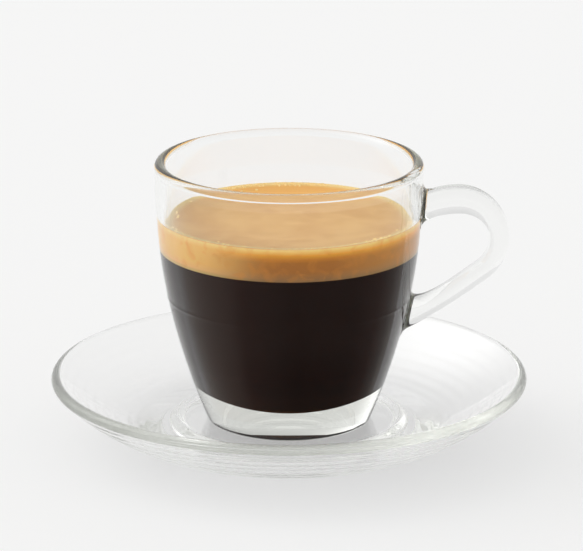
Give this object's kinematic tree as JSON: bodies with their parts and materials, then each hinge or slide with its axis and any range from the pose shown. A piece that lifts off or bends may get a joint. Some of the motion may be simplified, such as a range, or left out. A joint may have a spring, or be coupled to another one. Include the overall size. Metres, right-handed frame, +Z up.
{
  "type": "double espresso",
  "caption": "Espresso under a thick crema in a clear glass cup with a loop handle, on its round clear glass saucer.",
  "frame": {"origin": "middle of the saucer's foot ring, on the surface that it stands on", "axes": "+Z up along the axis of the cup and the saucer, +X towards the handle"},
  "size_m": [0.116, 0.116, 0.0699],
  "materials": {
    "saucer_glass": "clear pressed glass, fire polished",
    "cup_glass": "clear pressed glass, fire polished",
    "coffee": "black coffee seen through glass, with a brown thin edge",
    "crema": "fine golden brown coffee foam with small bubbles at its edge"
  },
  "bodies": {
    "root": {"saucer": "saucer_glass", "cup": "cup_glass", "coffee": "coffee", "crema": "crema"}
  },
  "joints": []
}
